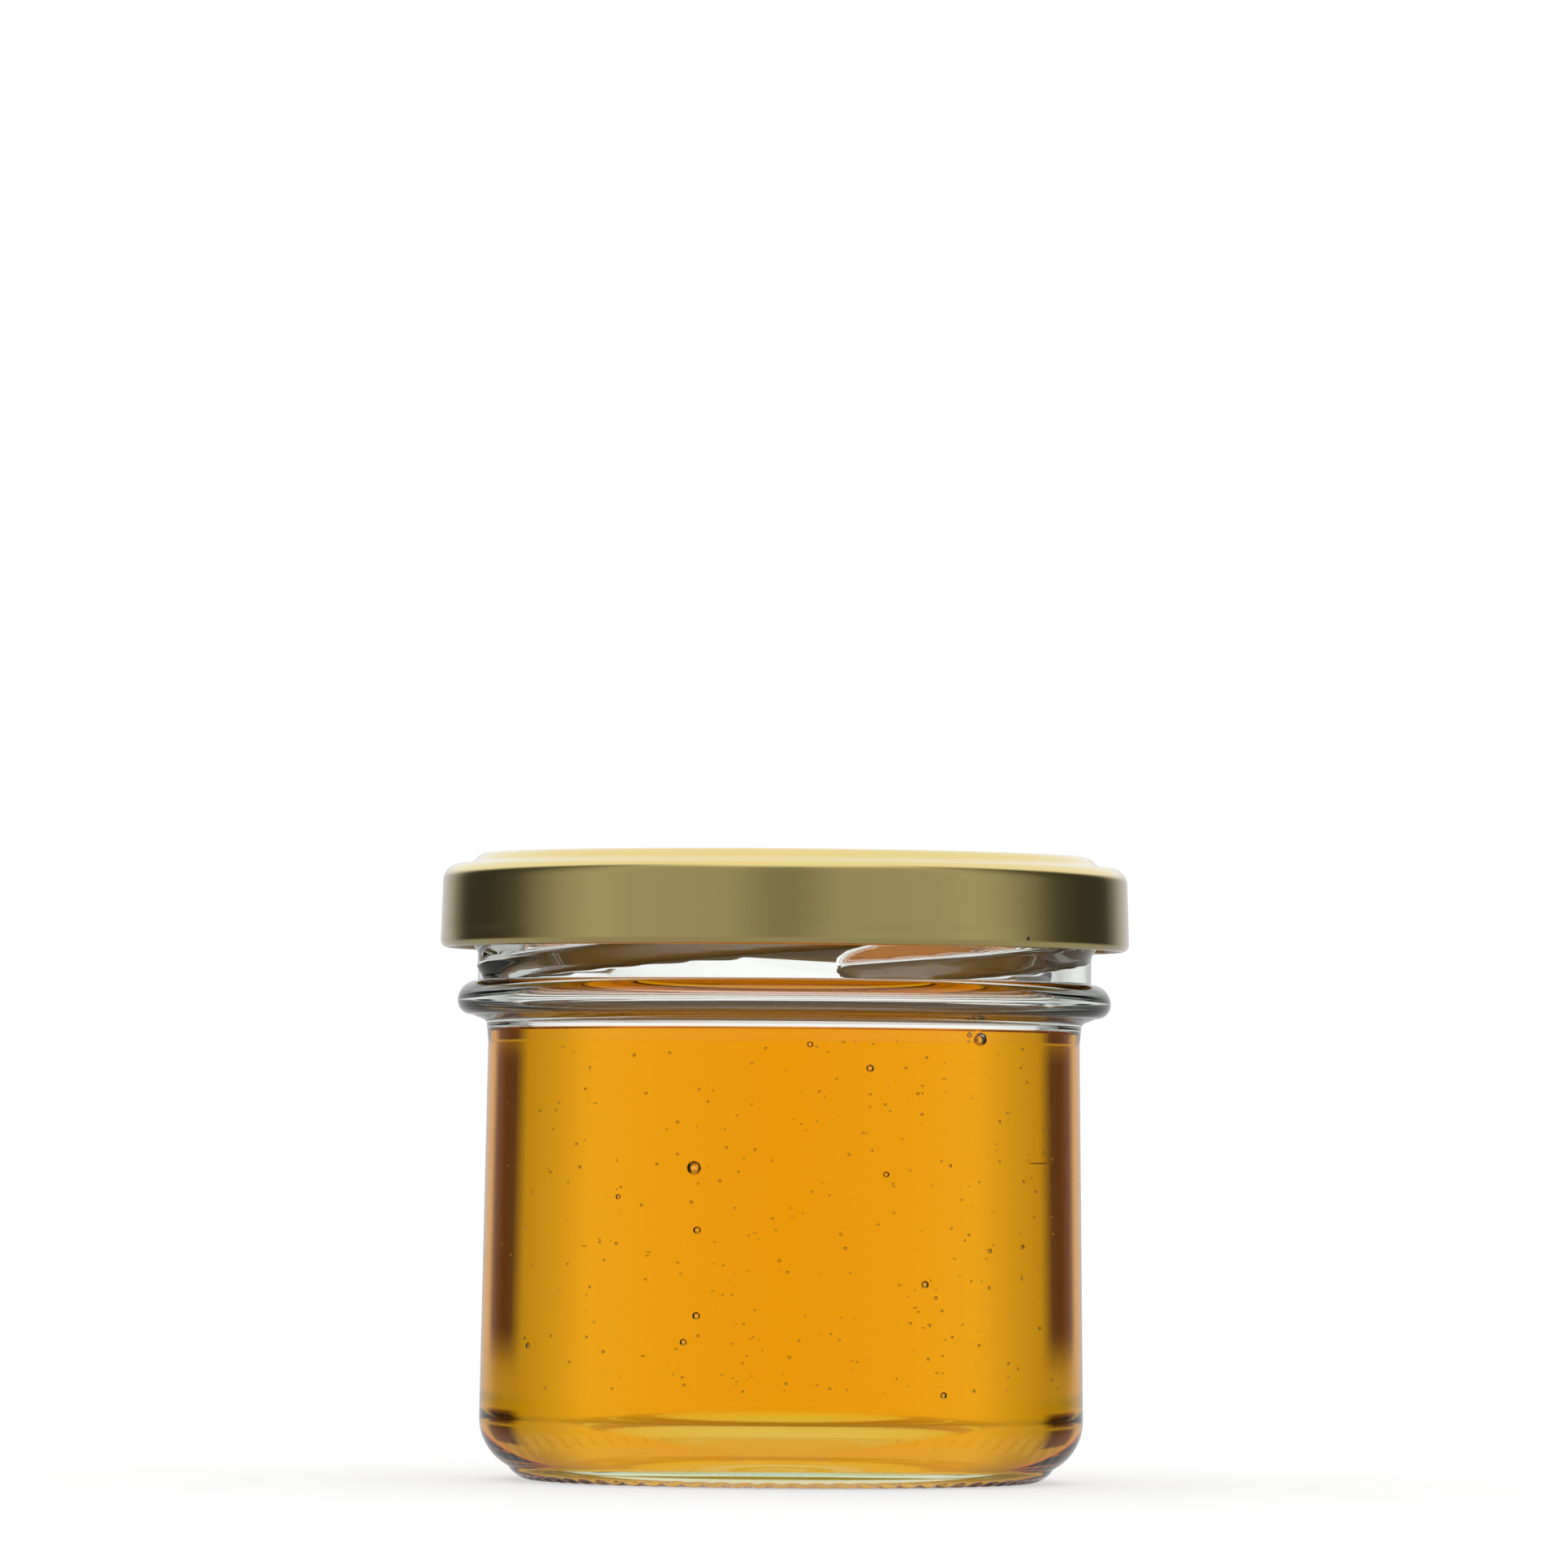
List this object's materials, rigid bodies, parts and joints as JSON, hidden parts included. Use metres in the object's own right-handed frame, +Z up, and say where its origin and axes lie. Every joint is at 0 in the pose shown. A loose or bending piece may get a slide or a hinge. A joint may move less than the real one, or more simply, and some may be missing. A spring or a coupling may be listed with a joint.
{
  "type": "twist-off glass jar of honey",
  "caption": "Small round clear glass jar filled with liquid honey and closed with a gold metal twist-off lid.",
  "frame": {"origin": "on the jar's axis, in the plane that it stands on", "axes": "+Z up along the jar's axis, -Y towards the front, +X to the right of someone who looks at the front"},
  "size_m": [0.0692, 0.0692, 0.0628],
  "materials": {
    "clear_glass": "clear, polished, slightly uneven",
    "amber_honey": "clear liquid with fine air bubbles",
    "gold_lacquer": "satin gold lacquer on tinplate"
  },
  "bodies": {
    "root": {"glass_jar": "clear_glass", "honey": "amber_honey", "twist_lid": "gold_lacquer"}
  },
  "joints": []
}
